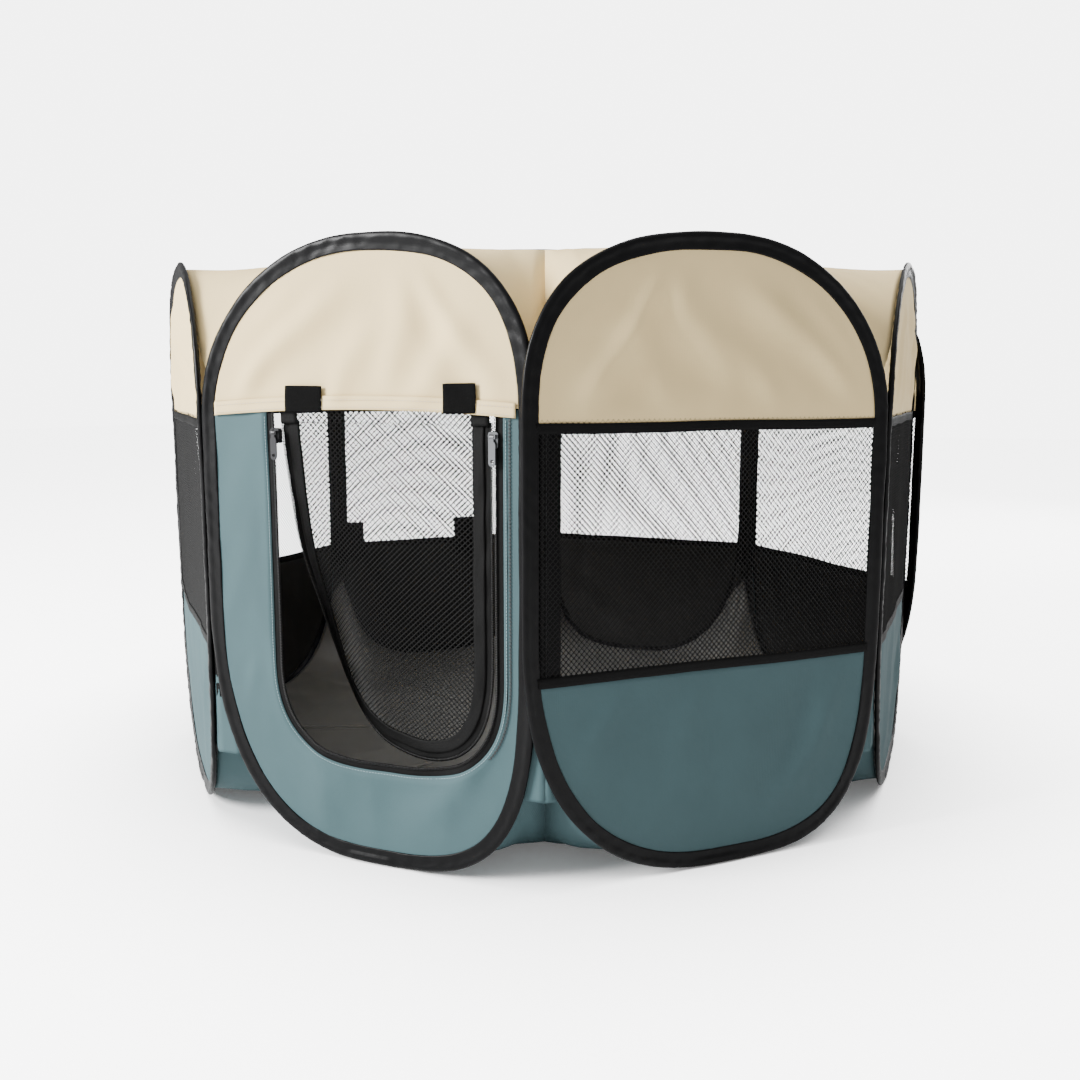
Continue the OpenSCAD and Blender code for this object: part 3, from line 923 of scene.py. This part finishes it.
def tab(mid, stand):
    """A tab sewn over the lower wall's top edge, stand inwards from the panel's plane."""
    lines = []
    for j in range(14):
        f = j / 13
        z = LOWER_Z - TAB_DROP + (TAB_RISE + TAB_DROP) * f
        lean = stand + 0.003 * smooth(f) + 0.0006 * math.sin(7 * f)
        lines.append([world(TAB_PANEL, mid + TAB_HALF_W * (i / 4 - 1) + 0.003 * f, lean, z)
                      for i in range(9)])
    return strip("tab", lines, [tape_fabric], 0.0014)


back_tabs = ride(join([tab(-0.038, 0.002), tab(0.154, 0.0062)], "back_tabs"), TAB_PANEL)

# ---- floor and roof, in one piece per panel ----

FLOOR_CORNER_Z, ROOF_CORNER_Z = 0.140, 0.455
SEWN_HALF = 0.153
SEWN_SHARE = 0.93
SEWN_INWARD = 0.0036
WIRE_INSET = 0.008


def arc_z(k, u, top):
    """Height of the hoop's arc over u, where the floor or roof is sewn to it."""
    i = 0 if u < 0 else 1
    half = half_widths(k)[i] - WIRE_INSET
    rise = (PEN_H - ARC_TOP_Z if top else ARC_LOW_Z) - WIRE_INSET
    e = (top_e(k) if top else LOW_E)[i]
    up = rise * (1 - (abs(u) / half) ** e) ** (1 / e)
    return ARC_TOP_Z + up if top else ARC_LOW_Z - up


def sewn_edge(k, f, top):
    """A point on the sewn edge of panel k's share, f from -1 at its left corner to 1."""
    if abs(f) <= SEWN_SHARE:
        u = SEWN_HALF * f / SEWN_SHARE
        return np.array(world(k, u, SEWN_INWARD, arc_z(k, u, top)))
    side = math.copysign(1, f)
    a = np.array(world(k, side * SEWN_HALF, SEWN_INWARD, arc_z(k, side * SEWN_HALF, top)))
    t = k * TURN - math.pi / 2 + side * TURN / 2
    r = CORNER_R - 0.011
    b = np.array((r * math.cos(t), r * math.sin(t), ROOF_CORNER_Z if top else FLOOR_CORNER_Z))
    return a + (b - a) * (abs(f) - SEWN_SHARE) / (1 - SEWN_SHARE)


def share(k, name, top, r_flat, z_flat, materials, ruffle):
    """Panel k's share of the floor or roof: from the flat middle out to its arc."""
    rows, cols = 30, 45
    lines = []
    for j in range(rows):
        s = j / (rows - 1)
        line = []
        for i in range(cols):
            f = 2 * i / (cols - 1) - 1
            edge = sewn_edge(k, f, top)
            a = math.atan2(edge[1], edge[0])
            base = np.array((r_flat * math.cos(a), r_flat * math.sin(a), z_flat))
            p = base + (edge - base) * s
            p[2] = z_flat + (edge[2] - z_flat) * s ** 3
            p[2] += ruffle(p[0], p[1], s, abs(f)) * (1 - s ** 6)
            line.append(tuple(p))
        lines.append(line)
    if not top:
        steps = 12
        inner = [[(0.0, 0.0, z_flat)] * cols]
        for j in range(1, steps):
            line = [(x * j / steps, y * j / steps) for x, y, _ in lines[0]]
            inner.append([(x, y, z_flat + ruffle(x, y, 0.0, 0.0)) for x, y in line])
        lines = inner + lines
    return strip(name, lines, materials, SHEET_T * 0.7)


def floor_ruffle(x, y, s, f):
    """The floor's creases: fold lines from being packed, and slack near the arcs."""
    up = 0.0016 * max(0.0, fbm(x * 5, y * 5, 1.0)) + 0.0020 * ridge(x * 6.5, y * 6.5, 4.0) ** 2
    up += 0.0040 * smooth(s * 1.6) * ridge(x * 16, y * 16, 7.0) * (0.4 + 0.6 * f)
    return up


def roof_ruffle(x, y, s, f):
    """The roof is drawn tight between the arcs, with puckers towards the corners."""
    a = math.atan2(y, x)
    pucker = 0.0030 * smooth(s * 1.3) * f * f * noise.noise(Vector((a * 26, s * 2.0, 6.0)))
    return -0.0022 * abs(fbm(x * 6, y * 6, 2.0, 2)) - 0.004 * smooth(s) * f + pucker


for k in range(PANELS):
    ground = share(k, f"floor_share_{k}", False, CORNER_R * FLOOR_FLAT, SHEET_T,
                   [lower_fabric, floor_fabric], floor_ruffle)
    ground.modifiers["thickness"].material_offset = 1
    cover = share(k, f"roof_share_{k}", True, ROOF_R, ROOF_Z, [upper_fabric], roof_ruffle)
    for piece, cad, slot_name in ((ground, "floor", "floor_fabric"),
                                  (cover, "roof_collar", "upper_fabric")):
        ride(piece, k)
        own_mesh(piece)
        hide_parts(cad)

# ---- roof zip, roof cover and its slider ----

COVER_R = ROOF_R - 0.0028


def round_line(r):
    n = 320
    return [(r * math.cos(math.tau * i / n), r * math.sin(math.tau * i / n)) for i in range(n)]


def cover_place(x, y, out=0.0):
    """The net cover hangs a little in the middle."""
    rr = min(1.0, (x * x + y * y) / COVER_R ** 2)
    sag = 0.009 * (1 - rr) + 0.0014 * fbm(x * 9, y * 9, 8.0, 2) * (1 - rr ** 3)
    return (x, y, ROOF_Z + 0.0012 - sag + out)


def ring_band(name, radii, lift, materials, thickness):
    """A flat sewn ring of cloth, its rows at the given radii, puckered by its stitching."""
    lines = []
    for j, r in enumerate(radii):
        line = []
        for x, y in round_line(r):
            pucker = 0.0005 * noise.noise(Vector((x * 45, y * 45, j * 0.4)))
            line.append((x, y, cover_place(x, y)[2] + lift + pucker))
        lines.append(line)
    return strip(name, lines, materials, thickness, closed=True)


def ring_coil(name, r, lift, reach_out):
    """Half of a zip's coil round a circle."""
    batch = Batch()
    n = int(math.tau * r / 0.0017)
    for i in range(n):
        c, s = math.cos(math.tau * i / n), math.sin(math.tau * i / n)
        a = (c * r, s * r, ROOF_Z + lift)
        b = (c * (r + reach_out), s * (r + reach_out), ROOF_Z + lift)
        batch.bar(a, b, (-s * 0.00045, c * 0.00045, 0), (0, 0, 0.0006))
    return batch.object(name, [zip_plastic])


def folds_away(piece, body, cad):
    """Put a piece of the roof's middle on its body."""
    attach(piece, body)
    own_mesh(piece)
    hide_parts(cad)


def in_cover(x, y):
    return x * x + y * y < (COVER_R - 0.008) ** 2


zip_ring = join([ring_band("a", [COVER_R + 0.0008, ROOF_R, ROOF_R + 0.0035, ROOF_R + 0.007], 0.0012,
                           [tape_fabric], 0.0007),
                 ring_coil("b", COVER_R - 0.0004, 0.0022, 0.0020)], "roof_zip_tape")
folds_away(zip_ring, "door_panel", "roof_zip")

cover_net = netting("cover_mesh", in_cover, cover_place, -COVER_R, COVER_R, -COVER_R, COVER_R,
                    thread=0.0010, pitch=(0.0082, 0.0078))
folds_away(cover_net, "roof_cover", "roof_cover")

cover_edge = join([ring_band("c", [COVER_R - 0.0165, COVER_R - 0.0140, COVER_R - 0.0100,
                                   COVER_R - 0.0065, COVER_R - 0.0010], 0.0010, [tape_fabric], 0.0016),
                   ring_coil("d", COVER_R - 0.0030, 0.0030, 0.0021)], "cover_binding")
folds_away(cover_edge, "roof_cover", "roof_cover")


def cad_copy(cad, name):
    """A CAD node's own mesh as a new piece, for a node that must fold away with its cloth."""
    mesh = frame["nodes"][cad].data.copy()
    mesh.materials.clear()
    mesh.materials.append(slider_metal)
    obj = bpy.data.objects.new(name, mesh)
    bpy.context.scene.collection.objects.link(obj)
    return obj


for cad in ("roof_slider", "roof_pull"):
    folds_away(cad_copy(cad, cad + "_metal"), cad, cad)

# ---- seams where two sleeves are sewn together at a corner ----


def corner_half(k, side, low, top, widths, materials):
    """Half of a strip up the inside of a corner: panel k's own half, at its left (-1) or right."""
    t = k * TURN - math.pi / 2 + side * TURN / 2
    rows, cols = 24, 5
    vertices = []
    for j in range(rows):
        z = low + (top - low) * j / (rows - 1)
        width = widths[0] + (widths[1] - widths[0]) * j / (rows - 1)
        line = []
        for i in range(cols):
            across = -side * width * i / (cols - 1)
            r = CORNER_R - 0.0040 - abs(across) * 0.41
            r -= 0.0006 * noise.noise(Vector((z * 50, i * 0.4, k)))
            line.append((r * math.cos(t) - across * math.sin(t),
                         r * math.sin(t) + across * math.cos(t), z))
        vertices += line if side < 0 else line[::-1]
    obj = mesh_object("half", vertices, grid_faces(rows, cols), materials)
    solidify(obj, 0.0008, inner=len(materials) - 1)
    return obj


SEAM_LOW_Z, SEAM_TOP_Z = 0.142, 0.440
for k in range(PANELS):
    halves = [corner_half(k, side, SEAM_LOW_Z, SEAM_TOP_Z, (0.0095, 0.0072), [tape_fabric])
              for side in (-1, 1)]
    seam = ride(join(halves, f"corner_tapes_{k}"), k)
    # the sewn corner of the lower wall, below the tape
    halves = [corner_half(k, side, 0.085, SEAM_LOW_Z + 0.022, (0.026, 0.0150),
                          [lower_fabric, coated_back]) for side in (-1, 1)]
    corner = ride(join(halves, f"corner_cloth_{k}"), k)


def lap_band(k, u0, u1):
    """The edge of the next hoop's binding, seen through the netting inside panel k."""
    low, top = 0.055, SEAM_TOP_Z
    lines = []
    for j in range(60):
        z = low + (top - low) * j / 59
        left = max(reach(k, SLEEVE_W - TAPE_LAP, z, -1), u0)
        wander = 0.0008 * noise.noise(Vector((z * 30, u0 * 40, 2.0)))
        lines.append([world(k, left + (u1 - u0) * i / 6 + wander,
                            0.0016 + 0.0006 * math.sin(i * 0.5), z) for i in range(7)])
    band = ride(strip(f"lap_band_{k}", lines, [satin], 0.0010), k)


lap_band(1, -0.176, -0.163)

# ---- stage, light and camera ----

stage_white = material("stage_white", (0.93, 0.93, 0.93), 0.9, spec=0.1)
# The floor shows the camera a glow that ambient occlusion darkens near the pen: a painted contact
# shadow under and round the pen; other rays see no glow.
glow = node(stage_white, "ShaderNodeEmission")
near = node(stage_white, "ShaderNodeAmbientOcclusion", Distance=0.30, samples=12)
painted_shadow_ramp = node(stage_white, "ShaderNodeMapRange")
painted_shadow_ramp.inputs["From Min"].default_value = 0.25
painted_shadow_ramp.inputs["From Max"].default_value = 1.0
painted_shadow_ramp.inputs["To Min"].default_value = 0.12
painted_shadow_ramp.inputs["To Max"].default_value = 4.8
link(stage_white, near.outputs["AO"], painted_shadow_ramp.inputs["Value"])
link(stage_white, painted_shadow_ramp.outputs["Result"], glow.inputs["Strength"])
seen = node(stage_white, "ShaderNodeLightPath")
dark = node(stage_white, "ShaderNodeEmission", Strength=0.0)
pick = node(stage_white, "ShaderNodeMixShader")
both = node(stage_white, "ShaderNodeAddShader")
link(stage_white, seen.outputs["Is Camera Ray"], pick.inputs[0])
link(stage_white, dark.outputs[0], pick.inputs[1])
link(stage_white, glow.outputs[0], pick.inputs[2])
link(stage_white, stage_white.node_tree.nodes["Principled BSDF"].outputs[0], both.inputs[0])
link(stage_white, pick.outputs[0], both.inputs[1])
link(stage_white, both.outputs[0], stage_white.node_tree.nodes["Material Output"].inputs["Surface"])
floor_mesh = mesh_object("stage_floor", [(-9, -9, 0), (9, -9, 0), (9, 9, 0), (-9, 9, 0)],
                         [(0, 1, 2, 3)], [stage_white])
floor_mesh.location.z = -0.0004

studio = bpy.data.worlds.new("studio")
bpy.context.scene.world = studio
studio.use_nodes = True
lit = studio.node_tree.nodes["Background"]
lit.inputs["Color"].default_value = (1, 1, 1, 1)
lit.inputs["Strength"].default_value = 0.60
backdrop = studio.node_tree.nodes.new("ShaderNodeBackground")
backdrop.inputs["Color"].default_value = (1, 1, 1, 1)
backdrop.inputs["Strength"].default_value = 5.6
choose = studio.node_tree.nodes.new("ShaderNodeMixShader")
ray = studio.node_tree.nodes.new("ShaderNodeLightPath")
studio.node_tree.links.new(ray.outputs["Is Camera Ray"], choose.inputs[0])
studio.node_tree.links.new(lit.outputs[0], choose.inputs[1])
studio.node_tree.links.new(backdrop.outputs[0], choose.inputs[2])
studio.node_tree.links.new(choose.outputs[0], studio.node_tree.nodes["World Output"].inputs["Surface"])


def area_light(name, place, aim, size, power):
    data = bpy.data.lights.new(name, "AREA")
    data.shape = "RECTANGLE"
    data.size, data.size_y = size
    data.energy = power
    obj = bpy.data.objects.new(name, data)
    bpy.context.scene.collection.objects.link(obj)
    obj.location = place
    obj.rotation_euler = (Vector(aim) - Vector(place)).to_track_quat("-Z", "Y").to_euler()
    return obj


area_light("key", (-2.1, -2.4, 1.7), (0, 0, 0.3), (1.1, 1.1), 360)
area_light("top", (0.3, 0.4, 3.2), (0, 0, 0.3), (2.4, 2.4), 62)
area_light("back", (1.2, 2.6, 1.6), (0, 0, 0.4), (1.6, 1.6), 60)

CAMERA_AZIMUTH = math.radians(22.33)
CAMERA_HEADING = math.radians(0.20)
CAMERA_DISTANCE = 1.35
CAMERA_HEIGHT = 0.4464
CAMERA_PITCH = math.radians(8.19)
FOCAL_PX = 1061.8
IMAGE_PX = 1080

lens = bpy.data.cameras.new("camera")
lens.sensor_width = 36
lens.lens = 36 * FOCAL_PX / IMAGE_PX
camera = bpy.data.objects.new("camera", lens)
bpy.context.scene.collection.objects.link(camera)
camera.location = (CAMERA_DISTANCE * math.sin(CAMERA_AZIMUTH),
                   -CAMERA_DISTANCE * math.cos(CAMERA_AZIMUTH), CAMERA_HEIGHT)
camera.rotation_euler = (math.pi / 2 - CAMERA_PITCH, 0, CAMERA_AZIMUTH + CAMERA_HEADING)
bpy.context.scene.camera = camera
